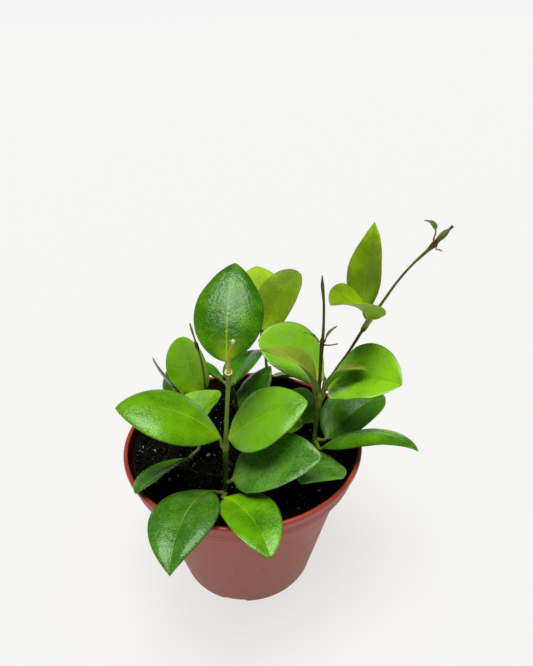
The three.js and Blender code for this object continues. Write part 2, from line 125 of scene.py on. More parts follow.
class Shade:
    """An output of a node in a material. Arithmetic on it adds Math nodes to that material."""

    def __init__(self, socket):
        self.socket = socket

    def node(self, kind, settings, inputs, output=0):
        tree = self.socket.id_data
        made = tree.nodes.new(kind)
        for name, value in settings.items():
            setattr(made, name, value)
        for name, value in inputs.items():
            if isinstance(value, Shade):
                tree.links.new(value.socket, made.inputs[name])
            else:
                made.inputs[name].default_value = value
        return Shade(made.outputs[output])

    def math(self, operation, *values):
        return self.node("ShaderNodeMath", {"operation": operation}, dict(enumerate(values)))

    def __add__(self, other):
        return self.math("ADD", self, other)

    __radd__ = __add__

    def __sub__(self, other):
        return self.math("SUBTRACT", self, other)

    def __rsub__(self, other):
        return self.math("SUBTRACT", other, self)

    def __mul__(self, other):
        return self.math("MULTIPLY", self, other)

    __rmul__ = __mul__

    def __truediv__(self, other):
        return self.math("DIVIDE", self, other)

    def __abs__(self):
        return self.math("ABSOLUTE", self)

    def part(self, axis):
        """One number of a vector: 0, 1 or 2."""
        return self.node("ShaderNodeSeparateXYZ", {}, {0: self}, axis)

    def stretched(self, x, y, z):
        return self.node("ShaderNodeVectorMath", {"operation": "MULTIPLY"}, {0: self, 1: (x, y, z)})

    def cloud(self, scale, detail=2, rough=0.5):
        """Soft noise between 0 and 1 with that many features to a metre."""
        return self.node(
            "ShaderNodeTexNoise", {}, {"Vector": self, "Scale": scale, "Detail": detail, "Roughness": rough}
        )

    def rising(self, low, high):
        """0 below low, 1 above high and a smooth step between; low above high turns it round."""
        return self.node(
            "ShaderNodeMapRange", {"interpolation_type": "SMOOTHSTEP"},
            {"Value": self, "From Min": low, "From Max": high},
        )

    def between(self, first, second):
        """Mixes two colours by this number."""
        return self.node("ShaderNodeMix", {"data_type": "RGBA"}, {0: self, 6: first, 7: second}, 2)

    def bump(self, distance, strength=1.0):
        return self.node(
            "ShaderNodeBump", {}, {"Strength": strength, "Distance": distance * MM, "Height": self}
        )


def colour(text):
    """A colour of a paint chart, such as b5523a, as light."""
    shares = [int(text[i : i + 2], 16) / 255 for i in (0, 2, 4)]
    return (*[s / 12.92 if s < 0.04 else ((s + 0.055) / 1.055) ** 2.4 for s in shares], 1)


def new_surface(name):
    """A material, its shader, and the place on the object as a Shade."""
    made = bpy.data.materials.new(name)
    made.use_nodes = True
    nodes = made.node_tree.nodes
    return made, nodes["Principled BSDF"], Shade(nodes.new("ShaderNodeTexCoord").outputs["Object"])


def feed(shader, **sockets):
    """Sets or links the shader's sockets, named with _ for a space."""
    for name, value in sockets.items():
        socket = shader.inputs[name.replace("_", " ")]
        if isinstance(value, Shade):
            shader.id_data.links.new(value.socket, socket)
        else:
            socket.default_value = value


lip_foot = pot_height - lip_height
pot_outline = [
    # Underside: a flat disc in the middle, a shallow hollow round it and the ring that the pot stands on.
    (0, 0), (foot_disc_radius, 0), (foot_disc_radius + foot_hollow, foot_hollow),
    (foot_radius - foot_ring - foot_hollow, foot_hollow), (foot_radius - foot_ring, 0),
    *arc(foot_radius - foot_round, foot_round, foot_round, -90, 0, 5),
    # Tapered wall, and the slope that leads out from its top to the foot of the collar.
    *[(taper_start[0] + taper_spread * (z - taper_start[1]), z) for z in taper_heights],
    (taper_top_radius - 0.4, taper_top_height - 1.6),
    (taper_top_radius, taper_top_height - 0.3),
    (taper_top_radius + 0.5, taper_top_height + 0.7),
    (collar_foot_radius - 1.2, collar_foot_height - 0.7),
    # Collar, with two fine raised lines near its foot, and the rolled lip.
    *arc(collar_foot_radius - collar_round, collar_foot_height + collar_round, collar_round, -40, 0, 4),
    (57.1, 70.5), (57.25, 70.7), (57.2, 70.95), (57.45, 72.2), (57.6, 72.4), (57.55, 72.65),
    (collar_top_radius - 0.1, lip_foot - 0.6),
    (collar_top_radius, lip_foot - 0.1),
    *arc(rim_radius - lip_round, lip_foot + lip_round, lip_round, -80, 0, 5),
    *arc(rim_radius - lip_round, pot_height - lip_round, lip_round, 0, 90, 6),
    *arc(collar_top_radius - pot_wall + lip_round, pot_height - lip_round, lip_round, 90, 180, 6),
    # Inside of the wall, with the ledge that the collar leaves, and the floor.
    (collar_foot_radius - pot_wall, 70.9), (collar_foot_radius - pot_wall - 0.5, 70.4),
    (taper_top_radius - pot_wall, taper_top_height + pot_wall + 0.3),
    (foot_radius - pot_wall, floor_top), (0, floor_top),
]
pot_shape = turned(pot_outline, pot_turns)
for vertex in pot_shape.verts:
    around = math.degrees(math.atan2(vertex.co.y, vertex.co.x))
    from_notch = min(abs((around - angle + 180) % 360 - 180) for angle in notch_angles)
    at_foot = vertex.co.xy.length > notch_inside * MM and vertex.co.z < notch_height * MM
    if at_foot and from_notch < notch_half_angle:
        vertex.co.z = notch_height * MM

# The outside of the wall is scuffed, the lip less so. The inside is darkened by painted shade,
# and it turns near black in patches low down.
pot_shape.normal_update()
scuffed = pot_shape.verts.layers.float.new("scuffed")
shaded_inside = pot_shape.verts.layers.float.new("shaded_inside")
for vertex in pot_shape.verts:
    outwards = vertex.normal.dot(vertex.co.xy.to_3d().normalized())
    on_lip = vertex.co.z > lip_foot * MM
    vertex[scuffed] = float(outwards > 0.3) * (0.4 if on_lip else 1)
    vertex[shaded_inside] = float(outwards < -0.3 and vertex.co.z < (pot_height - lip_round) * MM)

terracotta, shader, where = new_surface("terracotta plastic")
scuffs = where.stretched(25, 25, 900).cloud(1, 4, 0.65)
broad = where.cloud(28, 3)
handled = where.node("ShaderNodeAttribute", {"attribute_name": "scuffed"}, {}, 2)
inside = where.node("ShaderNodeAttribute", {"attribute_name": "shaded_inside"}, {}, 2)
height = where.part(2)
# The haze is heavier towards the foot of the pot and lighter on the collar.
haze_by_height = 0.45 + 0.2 * height.rising(62 * MM, 20 * MM) - 0.25 * height.rising(56 * MM, 63 * MM)
haze = handled * (haze_by_height + 1.5 * (broad - 0.5) + 2.6 * (scuffs - 0.5))
scratch = handled * where.stretched(40, 40, 2600).cloud(1, 2, 0.8).rising(0.6, 0.7)
grime = where.cloud(260, 2).rising(0.66, 0.73) * handled
body = haze.rising(0, 1).between(colour("a83c27"), colour("9f5946"))
body = (0.22 * scratch).between(body, colour("d8aba0"))
body = (0.5 * grime).between(body, colour("6b3a33"))
# Painted shade: the inside wall is darkened to a deep red.
body = (inside * (0.75 + 0.5 * (broad - 0.5))).between(body, colour("4a1a10"))
# The inside wall turns near black in patches, most of all low down towards the soil.
near_black_low_inside = inside * (height.rising(81.5 * MM, 78 * MM) + 1.2 * (where.cloud(400, 3) - 0.5)).rising(0.2, 0.7)
body = (0.9 * near_black_low_inside).between(body, colour("100705"))
feed(
    shader,
    Base_Color=body,
    Roughness=0.3 + 0.1 * handled + 0.2 * haze + 0.12 * scratch,
    Normal=(scuffs + 0.5 * scratch + 0.4 * where.cloud(900, 2)).bump(0.12, 0.6),
)
pot = piece("nursery_pot", pot_shape, [terracotta], "pot_plastic", "pot")

# The holes let water out through the floor of the pot. They are moulded with it, in a ring. Each is
# turned by half of one of its sides, so that none of its corners lies on an edge of the floor.
drain_holes, drain_hole_radius, drain_hole_circle, drain_hole_sides = 8, 3.5, 23, 24
half_side = Matrix.Rotation(math.pi / drain_hole_sides, 4, "Z")
drill_shape = bmesh.new()
for index in range(drain_holes):
    angle = 2 * math.pi * index / drain_holes
    place = Vector((math.cos(angle), math.sin(angle), 0)) * drain_hole_circle * MM
    bmesh.ops.create_cone(
        drill_shape, cap_ends=True, segments=drain_hole_sides, radius1=drain_hole_radius * MM,
        radius2=drain_hole_radius * MM, depth=4 * floor_top * MM,
        matrix=Matrix.Translation(place) @ half_side,
    )
drill_mesh = bpy.data.meshes.new("drill")
drill_shape.to_mesh(drill_mesh)
drill_shape.free()
drill = bpy.data.objects.new("drill", drill_mesh)
bpy.context.scene.collection.objects.link(drill)
cut = pot.modifiers.new("drain holes", "BOOLEAN")
cut.operation, cut.object, cut.solver = "DIFFERENCE", drill, "EXACT"
bpy.context.view_layer.update()
pot.data = bpy.data.meshes.new_from_object(pot.evaluated_get(bpy.context.evaluated_depsgraph_get()))
pot.modifiers.clear()
bpy.data.objects.remove(drill)

# ---- Soil ----------------------------------------------------------------------------------------
# Damp black potting soil fills the pot to its inner ledge. Its top is loose and crumbly: peat crumbs
# and chips of bark lie on it, half sunk, as they fell when the pot was filled.
soil_top, soil_edge, bank_foot, bank_rise = 70, 56.2, 47.5, 5.5
soil_turns, soil_rings, soil_spread = 160, 56, 55.6
crumb_count, bark_chip_count = 1500, 110
draw = random.Random(4)
noise.seed_set(4)  # without a seed its vectors change from run to run


def ground(x, y):
    """Height of the soil's rough top in millimetres. It banks up against the wall of the pot."""
    at = Vector((x, y, 0))
    bank = max(0, (at.length - bank_foot) / (soil_edge - bank_foot))
    hills = 0.9 * noise.noise(at / 14) + 0.8 * noise.noise(at / 5) + 0.7 * noise.noise(at / 2)
    return soil_top + 0.4 + bank_rise * min(1, bank) ** 1.8 + hills


def scattered():
    """A place on the soil, drawn evenly over it."""
    reach, angle = soil_spread * math.sqrt(draw.random()), draw.uniform(0, 2 * math.pi)
    return reach * math.cos(angle), reach * math.sin(angle)


def grain(shape, x, y, size, flat, detail):
    """Adds one irregular grain that lies on the soil, half sunk in it."""
    turn = Matrix.Rotation(draw.uniform(0, 6.3), 4, Vector((draw.random(), draw.random(), 0.3)).normalized())
    place = Matrix.Translation(Vector((x, y, ground(x, y) + 0.25 * size)) * MM)
    lean = Matrix.Diagonal((draw.uniform(0.8, 1.4), draw.uniform(0.7, 1.1), flat, 1))
    made = bmesh.ops.create_icosphere(
        shape, subdivisions=detail, radius=size * MM, matrix=place @ turn @ lean
    )
    for vertex in made["verts"]:
        vertex.co += 0.3 * size * MM * noise.noise_vector(vertex.co / (0.8 * size * MM))


soil_outline = [
    (0, 3.1), (34.2, 3.1), (50.1, 66.4), (54.6, 70.7), (soil_edge, soil_top + bank_rise),
    *[(soil_edge * (1 - i / soil_rings), soil_top + bank_rise) for i in range(1, soil_rings + 1)],
]
soil_shape = turned(soil_outline, soil_turns)
for vertex in soil_shape.verts:
    if vertex.co.z > (soil_top + bank_rise - 0.1) * MM:
        vertex.co.z = ground(vertex.co.x / MM, vertex.co.y / MM) * MM
for index in range(crumb_count):
    grain(soil_shape, *scattered(), draw.uniform(0.35, 1.2) ** 1.3, draw.uniform(0.6, 1), 1)
for index in range(bark_chip_count):
    grain(soil_shape, *scattered(), draw.uniform(1.2, 2.6), draw.uniform(0.25, 0.5), 1)

peat, shader, where = new_surface("damp peat")
patch = where.cloud(160, 3)
crumb = where.cloud(900, 2)
dirt = patch.rising(0.4, 0.8).between(colour("020101"), colour("0c0806"))
dirt = (0.8 * crumb.rising(0.65, 0.76)).between(dirt, colour("34261a"))
# Pale grey specks in the peat: partly grit, partly painted glints of the damp soil.
grit_and_glints = where.cloud(1500, 1).rising(0.66, 0.71) * where.cloud(90, 2).rising(0.4, 0.6)
dirt = (0.6 * grit_and_glints).between(dirt, colour("8a857a"))
feed(
    shader,
    Base_Color=dirt,
    Roughness=0.95 - 0.6 * where.cloud(420, 2).rising(0.58, 0.7),
    Specular_IOR_Level=0.12,
    Normal=(crumb + 0.5 * where.cloud(2600, 2)).bump(0.6),
)
piece("potting_soil", soil_shape, [peat], "soil", "soil")

# ---- Perlite -------------------------------------------------------------------------------------
# Puffed white volcanic glass, mixed through the soil in grains of up to two millimetres. The larger
# ones lie on top, the crumbs beside them half cover the small ones, and its dust lies in drifts.
# The tiny pale dust specks are partly real dust and partly painted glints of the damp soil.
small_grain_count, dust_and_glint_count, drift_size = 40, 900, 9
perlite_places = [
    (-52.5, 6.5, 0.6), (-46.5, 4.5, 1.3), (-46.5, -1.5, 0.9), (-43.5, 8, 0.6), (-37, -16.5, 1.2),
    (-33, -14.5, 0.8), (-29, -20, 0.8), (-25, -15.5, 0.6), (-18.5, -1, 1.2), (-15, 30, 0.7),
    (36.5, 14.5, 1.1), (35, -30, 1.0), (24, -40.5, 0.8), (27, -38, 0.5), (-40, -10, 0.5),
]
perlite_shape = bmesh.new()
for x, y, size in perlite_places:
    grain(perlite_shape, x, y, 0.8 * size, 0.8, 2)
for index in range(small_grain_count):
    grain(perlite_shape, *scattered(), draw.uniform(0.2, 0.5), 0.8, 1)
# Pale dust specks: partly dust, partly painted glints of the damp soil.
for index in range(dust_and_glint_count):
    x, y = scattered()
    if noise.noise(Vector((x, y, 0)) / drift_size) > 0:
        grain(perlite_shape, x, y, draw.uniform(0.12, 0.3), 0.8, 1)

perlite, shader, where = new_surface("perlite")
pits = where.cloud(1600, 3)
feed(
    shader,
    Base_Color=pits.rising(0.3, 0.6).between(colour("807b6a"), colour("efece0")),
    Roughness=0.85,
    Normal=pits.bump(0.3),
)
piece("perlite_grains", perlite_shape, [perlite], "soil")

# ---- Fibres --------------------------------------------------------------------------------------
# Thin brown roots and straws from the potting mix that lie loose on its surface. Each is a tube bent
# along its route, with closed ends.
fibre_count, fibre_reach, fibre_points = 34, 54, 4
ring_rise, ring_width, ring_ahead, bark_bumps = 0.22, 0.45, 1.1, 0.05


def smooth_point(route, place):
    """Centre and radius at a place from 0 to 1 on the smooth curve through a route's points."""
    pieces = len(route) - 1
    index = min(int(place * pieces), pieces - 1)
    share = place * pieces - index
    points = [Vector(point[:3]) for point in route]
    points = [2 * points[0] - points[1], *points, 2 * points[-1] - points[-2]]
    before, start, end, after = points[index : index + 4]
    first, middle, last = ((b - a).length ** 0.5 for a, b in ((before, start), (start, end), (end, after)))
    leave = (start - before) / first - (end - before) / (first + middle) + (end - start) / middle
    arrive = (end - start) / middle - (after - start) / (middle + last) + (after - end) / last
    leave, arrive = leave * middle, arrive * middle
    cube = 2 * (start - end) + leave + arrive
    square = 3 * (end - start) - 2 * leave - arrive
    ease = share * share * (3 - 2 * share)
    radius = route[index][3] + (route[index + 1][3] - route[index][3]) * ease
    return start + share * (leave + share * (square + share * cube)), radius


def wrapped(shape, rows, sides, place):
    """Adds a closed skin: a sphere whose rows and turns are moved to their places."""
    made = bmesh.ops.create_uvsphere(shape, u_segments=sides, v_segments=rows, radius=1)
    for vertex in made["verts"]:
        row = round(math.acos(max(-1, min(1, vertex.co.z))) / math.pi * rows)
        vertex.co = place(vertex, row, math.atan2(vertex.co.y, vertex.co.x)) * MM


def tube(shape, route, rows, sides, ridges=()):
    """Adds a round stem along a route. Ridges are points of the route with a scar ring."""

    def place(vertex, row, turn):
        along = max(0, min(1, (row - 1) / (rows - 2)))
        centre, radius = smooth_point(route, along)
        ahead = smooth_point(route, min(1, along + 0.01))[0] - smooth_point(route, max(0, along - 0.01))[0]
        side = Vector((0, 1, 0)).cross(ahead).normalized()
        front = ahead.normalized().cross(side)
        for index in ridges:
            off = (centre - Vector(route[index][:3])).length
            radius += ring_rise * math.exp(-((off - ring_ahead) / ring_width) ** 2)
        bumps = 1 + bark_bumps * noise.noise(centre / 3 + Vector((turn, 0, 0)))
        radius *= 0 if row in (0, rows) else bumps
        return centre + radius * (math.cos(turn) * side - math.sin(turn) * front)

    wrapped(shape, rows, sides, place)


fibre_shape = bmesh.new()
for index in range(fibre_count):
    x, y = scattered()
    heading, span, thick = draw.uniform(0, 6.3), draw.uniform(2, 6), draw.uniform(0.12, 0.28)
    route = []
    for step in range(fibre_points):
        x += span / 2 * math.cos(heading)
        y += span / 2 * math.sin(heading)
        heading += draw.uniform(-0.7, 0.7)
        shrink = min(1, fibre_reach / math.hypot(x, y))
        x, y = x * shrink, y * shrink
        route.append((x, y, ground(x, y) + draw.uniform(0.3, 0.9), thick))
    tube(fibre_shape, route, 8, 6)

straw, shader, where = new_surface("root fibres")
feed(
    shader,
    Base_Color=where.cloud(120, 2).rising(0.35, 0.7).between(colour("3d2a17"), colour("9a8052")),
    Roughness=0.8,
    Normal=where.cloud(1500, 2).bump(0.2),
)
piece("root_fibres", fibre_shape, [straw], "soil")

# ---- Front stem ----------------------------------------------------------------------------------
# A woody vine stem, green and a little ribbed, with a swollen joint wherever a pair of leaves grows.
# It was cut off above the upper joint, where a new leaf has grown up behind the cut.
front_route = [
    (-9.5, -28.5, soil_top - 1, 1.4), (-9.5, -28.5, 72.5, 1.4), (-9, -28.5, 79, 1.3),
    (-8, -28.5, 99.5, 1.5), (-7.6, -28.5, 105.5, 1.0), (-6.5, -28.5, 120, 0.9),
    (-5.3, -28.5, 134, 1.0), (-5, -28.5, 138.6, 1.3),
]


def stem_skin(name, low, high, bottom, top, speck, bands=()):
    """Bark that changes colour from bottom to top, with bands of other colours. Heights are in
    millimetres."""
    made, shader, where = new_surface(name)
    fibres = where.stretched(900, 900, 90).cloud(1, 3, 0.6)
    patches = where.cloud(110, 2)
    height = where.part(2).rising(bottom * MM, top * MM)
    bark = height.between(colour(low), colour(high))
    bark = (0.4 * fibres.rising(0.5, 0.72)).between(bark, colour(speck))
    bark = (0.35 * patches.rising(0.5, 0.7)).between(bark, colour("2e2a14"))
    for start, end, tint in bands:
        level = where.part(2) / MM
        within = level.rising(start - 1, start + 1) * level.rising(end + 1, end - 1)
        bark = (0.85 * within).between(bark, colour(tint))
    dots = where.stretched(1, 1, 0.5).cloud(1400, 1).rising(0.68, 0.74)
    feed(
        shader,
        Base_Color=(0.5 * dots).between(bark, colour("c3bd86")),
        Roughness=0.5 + 0.2 * patches,
        Specular_IOR_Level=0.2,
        Normal=(fibres + 0.6 * dots).bump(0.22),
    )
    return made


def stem(node, route, surface, slot, ridges=()):
    """A stem piece along its route."""
    shape = bmesh.new()
    length = sum((Vector(b[:3]) - Vector(a[:3])).length for a, b in zip(route, route[1:]))
    tube(shape, route, max(10, round(length / 0.9)), 18, ridges)
    return piece(f"{node}_bark", shape, [surface], slot, node)


# Painted shade: the green bark is darker towards its foot, where the leaves above shade it.
green_bark_with_painted_shade = stem_skin(
    "green bark with painted shade", "2a460a", "7c9c2c", 88, 116, "a6b860", [(98, 101, "8aa040"), (137.5, 138, "2c3010")]
)
stem("stem_front", front_route, green_bark_with_painted_shade, "stem_green", (3, 6))

# ---- Flower stalk and scar -----------------------------------------------------------------------
# The stem ends in a scar: a corky cup with a pale rim and a yellow heart. A dry flower stalk grows out
# of it; its flowers have dropped, and a small pale disc is left at its end.
flower_route = [
    (-4.8, -28.6, 140.0, 0.8), (-4.5, -28.5, 144, 0.5), (-4.1, -28.5, 149, 0.42),
    (-3, -28.5, 152.7, 0.45), (-2.5, -28.5, 154, 0.75), (-2.2, -28.5, 154.7, 0.75),
]
dry_stalk, shader, where = new_surface("dry flower stalk")
ribs = where.stretched(1500, 1500, 120).cloud(1, 2)
dry = where.part(2).rising(153.2 * MM, 154 * MM).between(colour("c3a642"), colour("f1ecd6"))
feed(
    shader,
    Base_Color=(0.35 * ribs.rising(0.5, 0.75)).between(dry, colour("7d5f24")),
    Roughness=0.75,
    Normal=ribs.bump(0.2),
)
stem("flower_stalk", flower_route, dry_stalk, "stalk_dry")

# The scar is turned round its own axis, with a small knob of cork on its front, and then leans.
scar_tilt, scar_place, scar_turns, knob_radius = 25, Vector((-5, -28.8, 139.5)), 28, 0.5
knob_place = Vector((-0.2, -1.4, -1.5))
scar_outline = [
    (0, -1.3), (0.9, -1.25), (1.3, -0.9), (1.5, -0.3), (1.66, 0.3), (1.62, 0.58), (1.42, 0.62),
    (1.22, 0.4), (1.06, 0.2), (0.98, 0.45), (0.86, 0.9), (0.5, 1.3), (0, 1.42),
]
scar_shape = turned(scar_outline, scar_turns)
bmesh.ops.create_icosphere(
    scar_shape, subdivisions=2, radius=knob_radius * MM, matrix=Matrix.Translation(knob_place * MM)
)
level = scar_shape.verts.layers.float.new("level")
for vertex in scar_shape.verts:
    on_knob = vertex.co.z < -0.9 * MM and vertex.co.y < -0.8 * MM
    on_cup = vertex.co.xy.length > 1.2 * MM
    vertex[level] = -0.5 if on_knob else vertex.co.z / MM - on_cup
lean = Matrix.Rotation(math.radians(scar_tilt), 4, "X")
bmesh.ops.transform(scar_shape, matrix=Matrix.Translation(scar_place * MM) @ lean, verts=scar_shape.verts)
cork, shader, where = new_surface("corky scar")
flesh = where.cloud(1300, 3)
height = where.node("ShaderNodeAttribute", {"attribute_name": "level"}, {}, 2)
scar_skin = height.rising(-1.2, -0.6).between(colour("5b5a28"), colour("efeac2"))
scar_skin = height.rising(0.0, 0.35).between(scar_skin, colour("cdbb35"))
feed(
    shader,
    Base_Color=(0.4 * flesh.rising(0.45, 0.7)).between(scar_skin, colour("8a7428")),
    Roughness=0.6,
    Normal=flesh.bump(0.25),
)
piece("cut_scar_cork", scar_shape, [cork], "scar", "cut_scar")

# ---- Leaves of the front stem --------------------------------------------------------------------
# Thick, waxy, oval leaves on short stalks that are grown on to the stem's joints. The upper skin is
# glossy, with a pale midrib in a shallow groove; the underside is paler and dull, with a raised midrib.
leaf_thickness, stalk_radius, stalk_flare, stalk_flatness = 1, 0.9, 0.45, 0.9
blade_rows, stalk_rows, leaf_sides = 44, 9, 40
groove_width, groove_depth, midrib_depth = 1.1, 0.16, 0.35
# Shares of a blade's length: where the stalk has faded into it, where its halves stand fully open and
# where its tip starts to thin.
stalk_fade, halves_open, tip_thins = 0.12, 0.06, 1 / 8


def leaf_skins(name, deep, fresh, glow, under, rim, gloss=0.22, sheen=0.5, midrib=0.5):
    """The upper and lower skin of one kind of leaf. The colours are those of its darkest and freshest
    patches, its midrib and foot, its underside and its margin. Each leaf's tone, painted sheen and
    lack of gloss vary them."""
    made = []
    for below in (False, True):
        surface, shader, where = new_surface(f"{name} {'underside' if below else 'upper skin'}")
        tone_sheen_dull = where.node("ShaderNodeAttribute", {"attribute_name": "tone_sheen_dull"}, {}, 1)
        tone, painted_sheen, dull = tone_sheen_dull.part(0), tone_sheen_dull.part(1), tone_sheen_dull.part(2)

        # Side is 0 on the midrib and 1 at the margin; along is 0 at the foot of the blade, 1 at its tip
        # and below 0 on the stalk.
        blade = where.node("ShaderNodeUVMap", {"uv_map": "blade"}, {})
        side = abs(2 * blade.part(0) - 1)
        along = blade.part(1)
        mottle = where.cloud(80, 3)
        dimple = where.cloud(230, 2)
        leather = where.cloud(1100, 2, 0.6)
        rib = side.rising(0.05, 0.0) * along.rising(0.85, 0.25) * along.rising(-0.02, 0.02)
        vein_number = 6.5 * (along - 0.26 * side + 0.12 * (where.cloud(140, 2) - 0.5))
        from_vein = abs(vein_number.math("FRACT", vein_number) - 0.5)
        veins = from_vein.rising(0.11, 0.0) * side.rising(0.9, 0.4)
        base = along.rising(0.3, 0.0) * side.rising(0.9, 0.1)
        fleck = where.cloud(1500, 1).rising(0.74, 0.79) * where.cloud(110, 1).rising(0.45, 0.65)
        stalk = along.rising(0.015, -0.03)
        edge = side.rising(0.945, 0.985)

        if below:
            skin = (0.9 * mottle - 0.1).between(colour(under), colour(fresh))
        else:
            skin = (tone + 1.5 * (mottle - 0.5) + 0.8 * (leather - 0.5)).rising(0, 1)
            skin = skin.between(colour(deep), colour(fresh))
            # Painted sheen: the wax share mixes in a pale grey-green, grained like the skin, for a broad
            # sheen.
            painted_sheen_grain = 0.05 + 0.3 * leather.rising(0.42, 0.6) + 0.3 * where.cloud(130, 3).rising(0.42, 0.62)
            skin = (painted_sheen * painted_sheen_grain).between(skin, colour("88b466"))
        skin = (0.5 * base + (0.12 if below else midrib) * rib + 0.04 * veins).between(skin, colour(glow))
        skin = (0.4 * edge).between(skin, colour(rim))
        skin = (0.6 * fleck).between(skin, colour("c9d8b4"))
        skin = stalk.between(skin, (0.5 * mottle).between(colour("74882a"), colour("a5b042")))
        shine = (0.5 if below else gloss) + 0.3 * (where.cloud(160, 3) - 0.4) + 0.3 * dull
        feed(
            shader,
            Base_Color=skin,
            Roughness=shine + 0.15 * fleck,
            Specular_IOR_Level=0.3 if below else sheen,
            Specular_Tint=(0.75, 1, 0.65, 1),
            Normal=(0.45 * leather + 0.9 * dimple - 0.04 * veins + mottle).bump(0.4, 0.4 if below else 0.8),
        )
        made.append(surface)
    return made


def midrib(start, heading, rise, roll, length, arch, sweep, twist):
    """Places along a blade's midrib. The columns of each one's matrix point ahead, aside and up."""
    ahead = Vector((math.cos(rise) * math.cos(heading), math.cos(rise) * math.sin(heading), math.sin(rise)))
    across = Vector((math.sin(heading), -math.cos(heading), 0))
    aim = Matrix((ahead, across, across.cross(ahead))).transposed() @ Matrix.Rotation(roll, 3, "X")
    half_turn = (
        Matrix.Rotation(arch / 2 / blade_rows, 3, "Y")
        @ Matrix.Rotation(sweep / 2 / blade_rows, 3, "Z")
        @ Matrix.Rotation(twist / 2 / blade_rows, 3, "X")
    )
    centre = Vector(start)
    places = [(centre.copy(), aim.copy())]
    for step in range(blade_rows):
        aim = aim @ half_turn
        centre = centre + aim.col[0] * length / blade_rows
        aim = aim @ half_turn
        places.append((centre.copy(), aim.copy()))
    return places


def leaf_stalk(route, index, first_place, first_aim):
    """Places along a leaf's stalk, from a point of its stem's route to the first place of its blade,
    each with its directions ahead, aside and up."""
    knot = Vector(route[index][:3])
    after = Vector(route[min(index + 1, len(route) - 1)][:3])
    before = Vector(route[max(index - 1, 0)][:3])
    way = (after - before).normalized()
    outwards = first_place - knot
    outwards = (outwards - way * outwards.dot(way)).normalized()
    root = knot + outwards * route[index][3] * 0.4
    reach = 0.4 * (root - first_place).length
    bend = [root, root + outwards * reach, first_place - first_aim.col[0] * reach, first_place]
    places = []
    side = first_aim.col[1].copy()
    for step in range(stalk_rows, -1, -1):
        t = step / stalk_rows
        s = 1 - t
        spot = bend[0] * s**3 + bend[1] * 3 * s * s * t + bend[2] * 3 * s * t * t + bend[3] * t**3
        slope = (bend[1] - bend[0]) * s * s + (bend[2] - bend[1]) * 2 * s * t + (bend[3] - bend[2]) * t * t
        slope.normalize()
        side = (side - slope * side.dot(slope)).normalized()
        places.insert(0, (spot, slope, side.copy(), side.cross(slope)))
    return places


